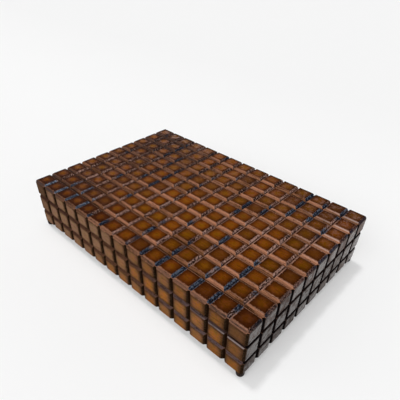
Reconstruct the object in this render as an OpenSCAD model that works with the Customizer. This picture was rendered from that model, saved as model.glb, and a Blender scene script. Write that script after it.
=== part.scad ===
// Low rectangular box for papers, covered on its top and sides by a grid of bevelled square blocks.
// The lid is one block high. It is made of long slats laid side by side on a canvas, as tambour
// work is, and every slat is cross-cut into blocks. The lid is rigid and swings on two butt hinges
// let into the seam at the back. Front is -Y, the hinges are at +Y, and Z = 0 is what it stands on.

/* [Block grid] */
// Spacing of the blocks, centre to centre, which is also the width of a slat
pitch = 25.4; // [22:0.1:29]
// Blocks along the length
cols = 15; // [9:1:18]
// Blocks across the width, and so slats in the lid
rows = 10; // [6:1:12]
// Bevel on every block edge, and so the depth of the V-grooves
bevel = 3; // [2.4:0.1:4]

/* [Lid] */
// Height of the lid, one block
lid_h = 24; // [22:0.5:32]
// Thickness of the slats above the hollow in the lid's underside
slat_skin = 13; // [10:0.5:14]
// Thickness of the canvas that the slats are glued to
canvas_t = 0.8; // [0.5:0.1:1.2]
// Thickness of the plywood that keeps the canvas and the slats flat
lid_panel_t = 3; // [2:0.5:4]
// Gap between the closed lid and the rim of the box
seam_gap = 0.3; // [0.2:0.05:0.6]

/* [Walls and bottom] */
// Height of the upper row of blocks on the walls
upper_row_h = 26; // [20:0.5:40]
// Height of the lower row of blocks on the walls, which is cut short
lower_row_h = 19; // [16:0.1:30]
// Thickness of the walls, and of the rim round the hollow of the lid
wall_t = 16; // [15:0.5:20]
// Thickness of the bottom panel
bottom_t = 6; // [4:0.5:9]
// Width of the rebate that the bottom panel sits in
rebate_w = 8; // [7:0.5:9]
// Thickness of the cloth linings
lining_t = 1.5; // [1:0.1:2.5]
// Gap round the panels and linings
panel_clear = 0.4; // [0.2:0.1:0.8]

/* [Feet] */
// Diameter of a foot
foot_d = 9.5; // [8:0.5:12]
// Height of a foot
foot_h = 9; // [8:0.5:14]
// Radius of the rounding at the bottom of a foot
foot_round = 3.2; // [2:0.1:3.5]
// Distance from the outer faces to the middle of a foot
foot_inset = 5; // [4.8:0.1:7]
// Diameter of the spigot that is glued into the wall
spigot_d = 4; // [3:0.5:5]
// Length of the spigot
spigot_l = 9; // [6:0.5:12]

/* [Hinges] */
// Length of a hinge
hinge_l = 40; // [30:1:50]
// Distance from the end of the box to the middle of a hinge
hinge_from_end = 76; // [60:1:90]
// Width of a leaf, from the pin's axis to its far edge
leaf_w = 11; // [10.5:0.5:12]
// Thickness of a leaf
leaf_t = 1.2; // [1:0.1:1.4]
// Diameter of the knuckles
knuckle_d = 4.2; // [4:0.1:4.8]
// Diameter of the pin
pin_d = 2; // [1.6:0.1:2.4]
// Radial running clearance of the pin in the knuckles
pin_clear = 0.05; // [0.02:0.01:0.1]
// Angle that the lid opens to
lid_opening = 100; // [92:1:110]

/* [Screws] */
// Shank diameter of the hinge screws
hinge_screw_d = 2; // [1.6:0.1:2.2]
// Length of the hinge screws
hinge_screw_l = 10; // [7:0.5:12]
// Distance from the pin's axis to the hinge screws
hinge_screw_y = 7; // [6.5:0.1:7.4]
// Shank diameter of the bottom screws
bottom_screw_d = 3; // [2.5:0.1:3.2]
// Length of the bottom screws
bottom_screw_l = 18; // [14:0.5:22]
// Number of bottom screws in each long wall
screw_count_long = 4; // [3:1:6]
// Number of bottom screws in each short wall
screw_count_short = 2; // [1:1:4]
// Radial clearance round a screw's shank and a spigot
hole_clear = 0.05; // [0.02:0.01:0.15]

/* [Hidden] */
$fn = 48;
EPS = 1;                                 // how far a cutting tool runs past the face that it cuts
LAP = 0.01;                              // overlap of shapes that are joined in one solid
length = cols * pitch;
width = rows * pitch;
body_h = lower_row_h + upper_row_h;
rim_z = foot_h + body_h;                 // top of the walls
lid_z = rim_z + seam_gap;                // underside of the lid
hollow_h = lid_h - slat_skin;            // depth of the hollow in the lid
inner_l = length - 2 * wall_t;
inner_w = width - 2 * wall_t;
panel_in = wall_t - rebate_w;            // distance from the outer faces to the rebate

stop_slack = 5;                          // degrees left before the back edges of lid and box meet
hinge_z = rim_z + seam_gap / 2;
hinge_in = (bevel + seam_gap / 2) / tan((lid_opening + stop_slack) / 2);
hinge_y = width / 2 - hinge_in;
hinge_x = length / 2 - hinge_from_end;
knuckles = 5;
knuckle_gap = 0.25;                      // end gap between knuckles
knuckle_room = 0.3;                      // radial room round the knuckles in wood and leaf
knuckle_l = (hinge_l - (knuckles - 1) * knuckle_gap) / knuckles;
pin_head_d = pin_d + 1.2;
pin_head_t = 0.6;
hole_end_room = 0.5;                     // room past the end of a screw or a spigot
slot_part = 0.25;                        // driver slot, width and depth over the shank's diameter
hinge_screws = 3;
hinge_screw_pitch = hinge_l / hinge_screws;
foot_sides = [["left", -1], ["right", 1]];
foot_ends = [["front", -1], ["back", 1]];

// ---- cutting tools ----

// V-groove along X, open towards +Z, with the surface that it cuts at Z = 0
module v_groove(run) {
    rotate([90, 0, 90])
        linear_extrude(height = run, center = true)
            polygon([[0, -bevel], [bevel + EPS, EPS], [-bevel - EPS, EPS]]);
}

// V-groove along X in the front face of a block of wood, centred on height Z = 0
module front_groove_x(run) {
    rotate([90, 0, 0]) v_groove(run);
}

// V-groove along Z in the front face, centred on X = 0
module front_groove_z(run) {
    rotate([90, 90, 0]) v_groove(run);
}

// Upright grooves of a long face, and of its two end corners, on the face at Y = 0
module upright_grooves(count, z, h) {
    for (i = [0:count])
        translate([(i - count / 2) * pitch, 0, z + h / 2]) front_groove_z(h + 2 * EPS);
}

// ---- lid ----

// Section of slat i across its length, with the outer slats bevelled at the seam too
module slat_section(i) {
    low_front = i == 1 ? bevel : 0;
    low_back = i == rows ? bevel : 0;
    polygon(concat(
        low_front > 0 ? [[0, low_front], [low_front, 0]] : [[0, 0]],
        low_back > 0 ? [[pitch - low_back, 0], [pitch, low_back]] : [[pitch, 0]],
        [[pitch, lid_h - bevel], [pitch - bevel, lid_h], [bevel, lid_h], [0, lid_h - bevel]]));
}

// One slat of the lid, counted from the front, cross-cut into blocks
module lid_slat(i) {
    slat_y = (i - 1 - rows / 2) * pitch;
    color("#8a4a16")
    difference() {
        translate([0, slat_y, lid_z])
            rotate([90, 0, 90]) linear_extrude(height = length, center = true) slat_section(i);
        // cross cuts on top, and the bevel at both ends
        for (k = [0:cols])
            translate([(k - cols / 2) * pitch, slat_y + pitch / 2, lid_z + lid_h])
                rotate([0, 0, 90]) v_groove(pitch + 2 * EPS);
        // end faces: upright edges and the edge at the seam
        for (side = [-1, 1]) {
            for (edge = [0, 1])
                translate([side * length / 2, slat_y + edge * pitch, lid_z + lid_h / 2])
                    rotate([0, 0, side * 90]) front_groove_z(lid_h + 2 * EPS);
            translate([side * length / 2, slat_y + pitch / 2, lid_z])
                rotate([0, 0, side * 90]) front_groove_x(pitch + 2 * EPS);
        }
        if (i == 1)
            translate([0, -width / 2, 0]) upright_grooves(cols, lid_z, lid_h);
        if (i == rows) {
            translate([0, width / 2, 0]) rotate([0, 0, 180]) upright_grooves(cols, lid_z, lid_h);
            hinge_seats(1);
        }
        // hollow in the underside
        translate([-inner_l / 2, -inner_w / 2, lid_z - EPS]) cube([inner_l, inner_w, hollow_h + EPS]);
    }
}

// Sheet that fills the hollow of the lid in plan, with its top at depth from the ceiling
module lid_sheet(depth, thick) {
    translate([-inner_l / 2 + panel_clear, -inner_w / 2 + panel_clear, lid_z + hollow_h - depth - thick])
        cube([inner_l - 2 * panel_clear, inner_w - 2 * panel_clear, thick]);
}

// Canvas backing that the slats are glued to
module lid_canvas() {
    color("#b8a888") lid_sheet(0, canvas_t);
}

// Plywood stiffener under the canvas
module lid_panel() {
    color("#c79a62") lid_sheet(canvas_t, lid_panel_t);
}

// Cloth lining of the lid
module lid_lining() {
    color("#2a1a16") lid_sheet(canvas_t + lid_panel_t, lining_t);
}

// ---- walls ----

// Mitred wall, run long, with its outer face at Y = 0 and its wood towards +Y
module plain_wall(count) {
    run = count * pitch;
    difference() {
        translate([0, 0, foot_h])
            linear_extrude(height = body_h)
                polygon([[-run / 2, 0], [run / 2, 0], [run / 2 - wall_t, wall_t], [-run / 2 + wall_t, wall_t]]);
        upright_grooves(count, foot_h, body_h);
        for (z = [foot_h + lower_row_h, rim_z])
            translate([0, 0, z]) front_groove_x(run + 2 * EPS);
        // rebate for the bottom panel
        translate([-run / 2 + panel_in, panel_in, foot_h - EPS])
            cube([run - 2 * panel_in, wall_t, bottom_t + EPS]);
    }
}

// Wall on one side of the box: turn 0 is the front, 90 the right, 180 the back, 270 the left
module wall(turn, count, off) {
    color("#8a4a16")
    difference() {
        rotate([0, 0, turn]) translate([0, -off, 0]) plain_wall(count);
        spigot_holes();
        bottom_screw_places() bottom_screw_hole();
        if (turn == 180) hinge_seats(-1);
    }
}

module front_wall() {
    wall(0, cols, width / 2);
}

module back_wall() {
    wall(180, cols, width / 2);
}

module right_wall() {
    wall(90, rows, length / 2);
}

module left_wall() {
    wall(270, rows, length / 2);
}

// ---- bottom ----

// Bottom panel, let into the rebate from below and held by screws
module bottom_panel() {
    gap = panel_in + panel_clear;
    color("#5e3216")
    difference() {
        translate([-length / 2 + gap, -width / 2 + gap, foot_h])
            cube([length - 2 * gap, width - 2 * gap, bottom_t]);
        bottom_screw_places() {
            bottom_screw_hole();
            screw_head(bottom_screw_d);
        }
    }
}

// Cloth lining of the floor
module floor_lining() {
    color("#2a1a16")
        translate([-inner_l / 2 + panel_clear, -inner_w / 2 + panel_clear, foot_h + bottom_t])
            cube([inner_l - 2 * panel_clear, inner_w - 2 * panel_clear, lining_t]);
}

// ---- feet ----

module foot_places() {
    for (x = [-1, 1], y = [-1, 1])
        translate([x * (length / 2 - foot_inset), y * (width / 2 - foot_inset), 0]) children();
}

module spigot_holes() {
    foot_places()
        translate([0, 0, foot_h - EPS]) cylinder(d = spigot_d + 2 * hole_clear, h = spigot_l + EPS + hole_end_room);
}

// Turned peg foot with a rounded end and a spigot
module foot(x, y) {
    color("#1c100a")
    translate([x * (length / 2 - foot_inset), y * (width / 2 - foot_inset), 0]) {
        rotate_extrude() {
            translate([0, foot_round]) square([foot_d / 2, foot_h - foot_round]);
            square([foot_d / 2 - foot_round, foot_round + LAP]);
            intersection() {
                translate([foot_d / 2 - foot_round, foot_round]) circle(r = foot_round);
                square([foot_d / 2, foot_round + LAP]);
            }
        }
        translate([0, 0, foot_h - LAP]) cylinder(d = spigot_d, h = spigot_l + LAP);
    }
}

// ---- hinges ----

// Places children at one hinge, with the pin along X and the lid's side towards +Z
module at_hinge(side) {
    translate([side * hinge_x, hinge_y, hinge_z]) children();
}

module knuckle_span(k, r, grow) {
    translate([-hinge_l / 2 + k * (knuckle_l + knuckle_gap) - grow, 0, 0])
        rotate([0, 90, 0]) cylinder(r = r, h = knuckle_l + 2 * grow);
}

// Leaf below the axis. first is 0 for the outer knuckles and 1 for the inner ones.
module hinge_leaf(first) {
    color("#b08a3c")
    difference() {
        union() {
            translate([-hinge_l / 2, -leaf_w, -seam_gap / 2 - leaf_t]) cube([hinge_l, leaf_w, leaf_t]);
            for (k = [first:2:knuckles - 1]) knuckle_span(k, knuckle_d / 2, 0);
        }
        for (k = [1 - first:2:knuckles - 1]) knuckle_span(k, knuckle_d / 2 + knuckle_room, knuckle_gap);
        rotate([0, 90, 0]) cylinder(d = pin_d + 2 * pin_clear, h = hinge_l + 2 * EPS, center = true);
        hinge_screw_places() {
            screw_hole(hinge_screw_d, hinge_screw_l);
            screw_head(hinge_screw_d);
        }
    }
}

module hinge_body_leaf(side) {
    at_hinge(side) hinge_leaf(0);
}

module hinge_lid_leaf(side) {
    at_hinge(side) mirror([0, 0, 1]) hinge_leaf(1);
}

// Pin with a flat head at each end
module hinge_pin(side) {
    color("#8f6e2c")
    at_hinge(side)
        rotate([0, 90, 0]) {
            cylinder(d = pin_d, h = hinge_l + 2 * LAP, center = true);
            for (end = [-1, 1])
                translate([0, 0, end * (hinge_l + pin_head_t) / 2])
                    cylinder(d = pin_head_d, h = pin_head_t, center = true);
        }
}

// Room cut in the wood for both hinges: level is -1 in the back wall and 1 in the lid
module hinge_seats(level) {
    for (side = [-1, 1])
        at_hinge(side)
            mirror([0, 0, level > 0 ? 1 : 0]) {
                translate([-hinge_l / 2, -leaf_w, -seam_gap / 2 - leaf_t])
                    cube([hinge_l, leaf_w, leaf_t + EPS]);
                rotate([0, 90, 0])
                    cylinder(r = knuckle_d / 2 + knuckle_room, h = hinge_l + 2 * (pin_head_t + knuckle_room),
                             center = true);
                hinge_screw_places() screw_hole(hinge_screw_d, hinge_screw_l);
            }
}

// ---- screws ----

// Screws point towards -Z here, with the top of the head at Z = 0
module countersink(d) {
    translate([0, 0, -d / 2]) cylinder(r1 = d / 2, r2 = d, h = d / 2);
}

// Countersunk wood screw with a driver slot along X
module wood_screw(d, l) {
    tip = d;
    slot = slot_part * d;
    difference() {
        union() {
            countersink(d);
            translate([0, 0, -l + tip]) cylinder(d = d, h = l - tip - d / 2 + LAP);
            translate([0, 0, -l]) cylinder(r1 = d / 8, r2 = d / 2, h = tip + LAP);
        }
        translate([-d - EPS, -slot / 2, -slot]) cube([2 * (d + EPS), slot, slot + EPS]);
    }
}

// Room for a screw's head
module screw_head(d) {
    countersink(d);
    cylinder(r = d, h = EPS);
}

// Hole for a screw's shank
module screw_hole(d, l) {
    translate([0, 0, -l - hole_end_room]) cylinder(d = d + 2 * hole_clear, h = l + hole_end_room + EPS);
}

// Places on the outer face of a leaf, in the hinge's frame
module hinge_screw_places() {
    for (k = [0:hinge_screws - 1])
        translate([(k - (hinge_screws - 1) / 2) * hinge_screw_pitch, -hinge_screw_y, -seam_gap / 2])
            children();
}

// Places under the bottom panel, turned so that the screws point up
module bottom_screw_places() {
    line = (panel_in + wall_t) / 2;
    for (y = [-1, 1], k = [0:screw_count_long - 1])
        translate([((k + 0.5) / screw_count_long - 0.5) * inner_l, y * (width / 2 - line), foot_h])
            rotate([180, 0, 0]) children();
    for (x = [-1, 1], k = [0:screw_count_short - 1])
        translate([x * (length / 2 - line), ((k + 0.5) / screw_count_short - 0.5) * inner_w, foot_h])
            rotate([180, 0, 0]) children();
}

module bottom_screw_hole() {
    screw_hole(bottom_screw_d, bottom_screw_l);
}

module bottom_screws() {
    color("#a8843c") bottom_screw_places() wood_screw(bottom_screw_d, bottom_screw_l);
}

module body_hinge_screws() {
    color("#c09a48")
        for (side = [-1, 1]) at_hinge(side) hinge_screw_places() wood_screw(hinge_screw_d, hinge_screw_l);
}

module lid_hinge_screws() {
    color("#c09a48")
        for (side = [-1, 1])
            at_hinge(side) mirror([0, 0, 1]) hinge_screw_places() wood_screw(hinge_screw_d, hinge_screw_l);
}

for (i = [1:rows])
    lid_slat(i);
lid_canvas();
lid_panel();
lid_lining();
front_wall();
back_wall();
left_wall();
right_wall();
bottom_panel();
floor_lining();
for (end = foot_ends, side = foot_sides)
    foot(side[1], end[1]);
for (side = foot_sides)
    hinge_body_leaf(side[1]);
for (side = foot_sides)
    hinge_lid_leaf(side[1]);
for (side = foot_sides)
    hinge_pin(side[1]);
body_hinge_screws();
lid_hinge_screws();
bottom_screws();
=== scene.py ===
"""Looks of a hinged box for papers, covered by a grid of bevelled blocks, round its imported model."""
import logging
import math
from dataclasses import dataclass, field
from enum import Enum
from functools import reduce
from typing import Any, Callable, Dict, List, Optional, Sequence, Tuple, Union

import bmesh
import bpy
from mathutils import Matrix, Vector


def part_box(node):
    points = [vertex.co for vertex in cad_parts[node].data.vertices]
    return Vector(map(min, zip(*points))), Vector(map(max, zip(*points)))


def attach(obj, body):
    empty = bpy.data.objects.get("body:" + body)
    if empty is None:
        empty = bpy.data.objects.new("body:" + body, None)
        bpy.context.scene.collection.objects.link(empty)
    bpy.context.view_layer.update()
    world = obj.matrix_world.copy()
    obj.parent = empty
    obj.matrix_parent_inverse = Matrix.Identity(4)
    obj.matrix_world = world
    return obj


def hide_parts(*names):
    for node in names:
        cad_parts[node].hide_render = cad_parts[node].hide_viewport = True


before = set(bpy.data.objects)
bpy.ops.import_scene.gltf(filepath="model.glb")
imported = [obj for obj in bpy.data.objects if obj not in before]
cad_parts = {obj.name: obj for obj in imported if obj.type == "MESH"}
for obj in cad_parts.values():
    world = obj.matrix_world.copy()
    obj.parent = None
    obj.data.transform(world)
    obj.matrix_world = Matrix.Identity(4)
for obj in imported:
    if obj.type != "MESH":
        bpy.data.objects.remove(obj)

LOG = logging.getLogger("box")
MM = 0.001
MERGE_WITHIN = 0.002 * MM
Colour = Tuple[float, float, float]
MeshPart = Union[bmesh.types.BMVert, bmesh.types.BMEdge, bmesh.types.BMFace]


# ---------------------------------------------------------------- shader graph

class Num:
    """A socket that takes part in Python arithmetic; each operation adds a Math node."""

    def __init__(self, graph: "Graph", socket: bpy.types.NodeSocket) -> None:
        """Keeps the graph and the output socket."""
        self.graph = graph
        self.socket = socket

    def __add__(self, other: "Operand") -> "Num":
        """Sum."""
        return self.graph.math("ADD", self, other)

    __radd__ = __add__

    def __sub__(self, other: "Operand") -> "Num":
        """Difference."""
        return self.graph.math("SUBTRACT", self, other)

    def __rsub__(self, other: "Operand") -> "Num":
        """Difference with the number first."""
        return self.graph.math("SUBTRACT", other, self)

    def __mul__(self, other: "Operand") -> "Num":
        """Product."""
        return self.graph.math("MULTIPLY", self, other)

    __rmul__ = __mul__

    def __truediv__(self, other: "Operand") -> "Num":
        """Quotient."""
        return self.graph.math("DIVIDE", self, other)

    def __gt__(self, other: "Operand") -> "Num":
        """1 where this is the greater."""
        return self.graph.math("GREATER_THAN", self, other)

    def __lt__(self, other: "Operand") -> "Num":
        """1 where this is the smaller."""
        return self.graph.math("LESS_THAN", self, other)

    def __abs__(self) -> "Num":
        """Absolute value."""
        return self.graph.math("ABSOLUTE", self)


Operand = Union[Num, float]


class Graph:
    """Adds nodes to one tree and hands out their sockets as numbers."""

    def __init__(self, tree: bpy.types.NodeTree, output: str) -> None:
        """Empties a tree and gives it an output.

        Args:
            tree: the tree.
            output: type of its output node.
        """
        self.tree = tree
        self.tree.nodes.clear()
        self.output = self.tree.nodes.new(output)

    def feed(self, socket: bpy.types.NodeSocket, value: Any) -> None:
        """Links or sets one input socket.

        Args:
            socket: the input.
            value: a Num to link, or a number, a colour or a vector to set.
        """
        if isinstance(value, Num):
            self.tree.links.new(value.socket, socket)
        elif isinstance(value, tuple) and socket.type == "RGBA":
            socket.default_value = (*value, 1.0)
        else:
            socket.default_value = value

    def show(self, shader: Num) -> None:
        """Links a shader to the tree's output."""
        self.feed(self.output.inputs["Surface"], shader)

    def node(self, kind: str, settings: Optional[Dict[str, Any]] = None,
             inputs: Optional[Dict[Any, Any]] = None, out: Union[int, str] = 0) -> Num:
        """Adds a node.

        Args:
            kind: the node's type.
            settings: its settings, set before its sockets; "stops" are a colour ramp's.
            inputs: what goes into its sockets, by name or number.
            out: name or number of the output that is wanted.

        Returns:
            That output.
        """
        made = self.tree.nodes.new(kind)
        for key, value in (settings or {}).items():
            if key == "stops":
                elements = made.color_ramp.elements
                while len(elements) < len(value):
                    elements.new(1.0)
                for element, (place, colour) in zip(elements, value):
                    element.position = place
                    element.color = (*colour, 1.0)
            else:
                setattr(made, key, value)
        for key, value in (inputs or {}).items():
            self.feed(made.inputs[key], value)
        return Num(self, made.outputs[out])

    def math(self, operation: str, *terms: Operand) -> Num:
        """A Math node on up to three numbers."""
        return self.node("ShaderNodeMath", {"operation": operation}, dict(enumerate(terms)))

    def least(self, *terms: Operand) -> Num:
        """Smallest of several numbers."""
        return reduce(lambda found, term: self.math("MINIMUM", found, term), terms)

    def most(self, *terms: Operand) -> Num:
        """Largest of several numbers."""
        return reduce(lambda found, term: self.math("MAXIMUM", found, term), terms)

    def mix(self, factor: Operand, first: Any, second: Any) -> Num:
        """Mixes two colours: the first where the factor is 0, the second where it is 1."""
        return self.node("ShaderNodeMix", {"data_type": "RGBA"}, {0: factor, 6: first, 7: second}, out=2)

    def layers(self, base: Any, *laid: Tuple[Operand, Any]) -> Num:
        """Lays colours over a base, one after another.

        Args:
            base: the lowest colour.
            laid: the share and the colour of each layer over it.

        Returns:
            The colour.
        """
        return reduce(lambda below, layer: self.mix(layer[0], below, layer[1]), laid, base)

    def blend(self, factor: Num, first: Num, second: Num) -> Num:
        """Goes from one number to another."""
        return first + (second - first) * factor

    def smooth(self, value: Num, start: float, end: float) -> Num:
        """Goes smoothly from 0 to 1 as a value goes from one limit to another.

        Args:
            value: the value.
            start: where the result is 0; it may be the greater of the two limits.
            end: where the result is 1.

        Returns:
            A number from 0 to 1.
        """
        if start > end:
            return 1 - self.smooth(value, end, start)
        return self.node("ShaderNodeMapRange", {"interpolation_type": "SMOOTHSTEP"},
                         {"Value": value, "From Min": start, "From Max": end})

    def place(self) -> Num:
        """The point in the object's own frame, in millimetres."""
        point = self.node("ShaderNodeTexCoord", out="Object")
        return self.node("ShaderNodeVectorMath", {"operation": "SCALE"}, {0: point, "Scale": 1 / MM})

    def split(self, vector: Num) -> Tuple[Num, ...]:
        """The three parts of a vector."""
        parts = self.node("ShaderNodeSeparateXYZ", None, {0: vector}).socket.node.outputs
        return tuple(Num(self, part) for part in parts)

    def join(self, x: Operand, y: Operand, z: Operand) -> Num:
        """A vector from its three parts."""
        return self.node("ShaderNodeCombineXYZ", None, {0: x, 1: y, 2: z})

    def noise(self, vector: Num, stretch: Sequence[float], detail: float,
              shift: Optional[Num] = None) -> Num:
        """Noise from 0 to 1.

        Args:
            vector: the point, in millimetres.
            stretch: features per millimetre along X, Y and Z.
            detail: octaves.
            shift: a vector that moves the pattern, such as a block's own.

        Returns:
            The noise.
        """
        point = self.node("ShaderNodeVectorMath", {"operation": "MULTIPLY"},
                          {0: vector, 1: tuple(stretch)})
        if shift is not None:
            point = self.node("ShaderNodeVectorMath", {"operation": "ADD"}, {0: point, 1: shift})
        return self.node("ShaderNodeTexNoise", None,
                         {"Vector": point, "Scale": 1.0, "Detail": detail, "Roughness": 0.55})

    def bump(self, height: Num, distance: float, strength: float, under: Optional[Num] = None) -> Num:
        """Bump from a height of 0 to 1.

        Args:
            height: the height.
            distance: what a height of 1 stands for, in metres.
            strength: share of the bump.
            under: the normal that it adds to.

        Returns:
            The normal.
        """
        inputs = {"Height": height, "Distance": distance, "Strength": strength}
        if under is not None:
            inputs["Normal"] = under
        return self.node("ShaderNodeBump", None, inputs)


class MaterialGraph(Graph):
    """The graph of one material, round a Principled shader."""

    def __init__(self, name: str, fixed: Dict[str, Any]) -> None:
        """Starts the material.

        Args:
            name: the material's name.
            fixed: values that are the same all over, set on the shader's own sockets.
        """
        self.material = bpy.data.materials.new(name)
        self.material.use_nodes = True
        super().__init__(self.material.node_tree, "ShaderNodeOutputMaterial")
        self.shader = self.node("ShaderNodeBsdfPrincipled", None, fixed)
        self.show(self.shader)

    def finish(self, links: Dict[str, Any]) -> bpy.types.Material:
        """Feeds the shader and gives the material.

        Args:
            links: what varies over the surface, by the shader's socket.

        Returns:
            The material.
        """
        for key, value in links.items():
            self.feed(self.shader.socket.node.inputs[key], value)
        return self.material


# ---------------------------------------------------------------- sizes

@dataclass(frozen=True)
class Grid:
    """Sizes of the block grid, in millimetres, as the model has them."""
    pitch: float = 25.4
    cols: int = 15
    rows: int = 10
    bevel: float = 3.0
    foot_h: float = 9.0
    lower_row_h: float = 19.0
    upper_row_h: float = 26.0
    lid_h: float = 24.0
    seam_gap: float = 0.3

    @property
    def length(self) -> float:
        """Outer length."""
        return self.cols * self.pitch

    @property
    def width(self) -> float:
        """Outer width."""
        return self.rows * self.pitch

    @property
    def step(self) -> float:
        """Height of the groove between the two rows of the walls."""
        return self.foot_h + self.lower_row_h

    @property
    def seam(self) -> float:
        """Height of the middle of the seam."""
        return self.step + self.upper_row_h + self.seam_gap / 2

    @property
    def top(self) -> float:
        """Height of the top."""
        return self.seam + self.seam_gap / 2 + self.lid_h

    def depth(self, point: Vector) -> float:
        """How far a point, in metres, lies inside the outer faces, in millimetres."""
        x, y, z = point / MM
        return min(self.length / 2 - abs(x), self.width / 2 - abs(y), self.top - z)


class Run(Enum):
    """Which way the grain of a board runs."""
    LONG = "long"
    CROSS = "cross"


class Shown(Enum):
    """Which side of a cloth shows."""
    UPPER = 1
    LOWER = -1


# ---------------------------------------------------------------- finishes

@dataclass(frozen=True)
class WoodMarks:
    """Noises from 0 to 1; the first three run with the grain of a board."""
    grain: Num
    lines: Num
    pores: Num
    cloud: Num
    chatter: Num
    speck: Num
    mottle: Num

    @classmethod
    def read(cls, g: Graph, place: Num, shift: Num, run: Run) -> "WoodMarks":
        """Makes the noises.

        Args:
            g: the material's graph.
            place: the point.
            shift: a random vector of the block.
            run: which way the grain runs.

        Returns:
            The noises.
        """
        def way(along: float, across: float) -> Tuple[float, float, float]:
            """Features per millimetre along X, Y and Z, from those with and across the grain."""
            return (along, across, across) if run is Run.LONG else (across, along, across)

        cloud, chatter = g.noise(place, (0.16,) * 3, 2.0, shift), g.noise(place, (0.5,) * 3, 3.0)
        return cls(
            grain=g.noise(place, way(0.05, 0.7), 3.0, shift), lines=g.noise(place, way(0.09, 1.5), 2.0),
            pores=g.noise(place, way(0.25, 3.2), 2.0), cloud=cloud, chatter=chatter,
            speck=g.noise(place, (1.1,) * 3, 2.0), mottle=chatter * 0.7 + cloud * 0.3)


@dataclass(frozen=True)
class BlockSite:
    """Where a point of the block grid lies: lengths are in mm, the rest goes from 0 to 1."""
    g: Graph
    wood: WoodMarks
    x: Num
    y: Num
    z: Num
    row: Num         # row of blocks: 0 is the lowest, 1 the one above it and 2 the lid's
    tint_a: Num      # three random numbers of the block
    tint_b: Num
    tint_c: Num
    on_side: Num     # on a front or back face
    on_end: Num      # on a left or right face
    long_cut: Num    # on a bevel or ledge that runs along the length
    cross_cut: Num   # on a bevel that cuts across the slats
    corner_cut: Num  # on an upright bevel
    down: Num        # facing down, towards the back and towards the left
    to_back: Num
    to_left: Num
    from_front: Num  # distance from the front edge of the block
    from_cut: Num    # distance from the nearest edge of the block in plan
    in_end: Num      # in a groove of a left or right face
    low: Num         # on a wall or in the seam
    edge: Num        # distance in from the bevels, round in the corners of a face
    depth: Num       # depth below the outer faces
    far_left: Num    # towards the back left of the lid

    @classmethod
    def read(cls, g: Graph, grid: Grid, run: Run) -> "BlockSite":
        """Works the numbers out from the point and from the way that its face looks.

        Args:
            g: the material's graph.
            grid: the block grid.
            run: which way the grain runs.

        Returns:
            The numbers.
        """
        place = g.place()
        x, y, z = g.split(place)
        row = (z > grid.step) + (z > grid.seam)
        # the block that the point belongs to, outer faces included, and what is random about it
        inward, spread = 0.9999, 40.0
        block = g.join(g.math("FLOOR", x * (inward / grid.pitch) + grid.cols / 2),
                       g.math("FLOOR", y * (inward / grid.pitch) + grid.rows / 2), row)
        tint = g.node("ShaderNodeTexWhiteNoise", {"noise_dimensions": "3D"}, {"Vector": block}, out="Color")
        tint_a, tint_b, tint_c = g.split(tint)
        shift = g.node("ShaderNodeVectorMath", {"operation": "SCALE"}, {0: tint, "Scale": spread})
        # which way the surface faces: between these limits it turns into a face or a bevel
        nx, ny, nz = g.split(g.node("ShaderNodeAttribute", {"attribute_name": "facing"}, out="Vector"))
        xx, yy, zz = nx * nx, ny * ny, nz * nz
        flat, cut, wide_cut = (0.6, 0.9), (0.35, 0.9), (0.25, 0.75)
        on_side, on_end = g.smooth(yy, *flat), g.smooth(xx, *flat)
        # distance in from the block's edge, rounder in the corners of the top faces
        half, soft, top_soft = grid.pitch / 2, 7.0, 12.0
        to_x = g.math("PINGPONG", x + grid.length / 2, half)
        to_y = g.math("PINGPONG", y + grid.width / 2, half)
        to_z = g.least(abs(z - grid.step), abs(z - grid.seam), abs(z - grid.top))
        edge = g.math("SMOOTH_MIN", to_x, to_y, top_soft)
        edge = g.blend(on_side, edge, g.math("SMOOTH_MIN", to_x, to_z, soft))
        edge = g.blend(on_end, edge, g.math("SMOOTH_MIN", to_y, to_z, soft)) - grid.bevel
        slack, top_slack = 0.1, 0.3
        in_end = ((abs(x) > grid.length / 2 - grid.bevel - slack) * (abs(y) < grid.width / 2 - grid.bevel)
                  * (z < grid.top - grid.bevel - top_slack))
        return cls(
            g=g, wood=WoodMarks.read(g, place, shift, run), x=x, y=y, z=z, row=row,
            tint_a=tint_a, tint_b=tint_b, tint_c=tint_c, on_side=on_side, on_end=on_end,
            long_cut=g.smooth(yy * zz * 4, *wide_cut), cross_cut=g.smooth(xx * zz * 4, *cut),
            corner_cut=g.smooth(xx * yy * 4, *cut), down=nz < -0.8, to_back=ny > 0.4, to_left=nx < -0.4,
            from_front=g.math("FLOORED_MODULO", y + grid.width / 2, grid.pitch),
            from_cut=g.least(to_x, to_y), in_end=in_end, low=z < grid.seam + grid.bevel + 1, edge=edge,
            depth=g.least(grid.length / 2 - abs(x), grid.width / 2 - abs(y), grid.top - z),
            far_left=g.smooth(y, -70.0, 60.0) * g.smooth(x, 30.0, -70.0))


@dataclass(frozen=True)
class LidParts:
    """Parts of the lid's top, each 1 inside and fading to 0 outside, and what is lit in them."""
    left: Num
    right: Num
    front: Num
    back: Num
    ragged: Num  # distance in from a block's bevels, made uneven, in mm
    lit: Num     # middles of the blocks that stay bright

    @classmethod
    def read(cls, site: BlockSite) -> "LidParts":
        """Works the numbers out.

        Args:
            site: where the point lies.

        Returns:
            The numbers.
        """
        g, wood = site.g, site.wood
        front = g.smooth(site.y, -60.0, -120.0)
        ragged = site.edge + (wood.cloud - 0.5) * 4.0 + (wood.speck - 0.5) * 2.5
        lit = (0.4 + 0.6 * g.smooth(site.x, 0.0, -110.0) * (1 - 0.5 * front)) * g.smooth(ragged, 2.4, 6.0)
        return cls(left=g.smooth(site.x, -30.0, -150.0), right=g.smooth(site.x, 60.0, 170.0),
                   front=front, back=g.smooth(site.y, 0.0, 120.0), ragged=ragged, lit=lit)


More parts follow.
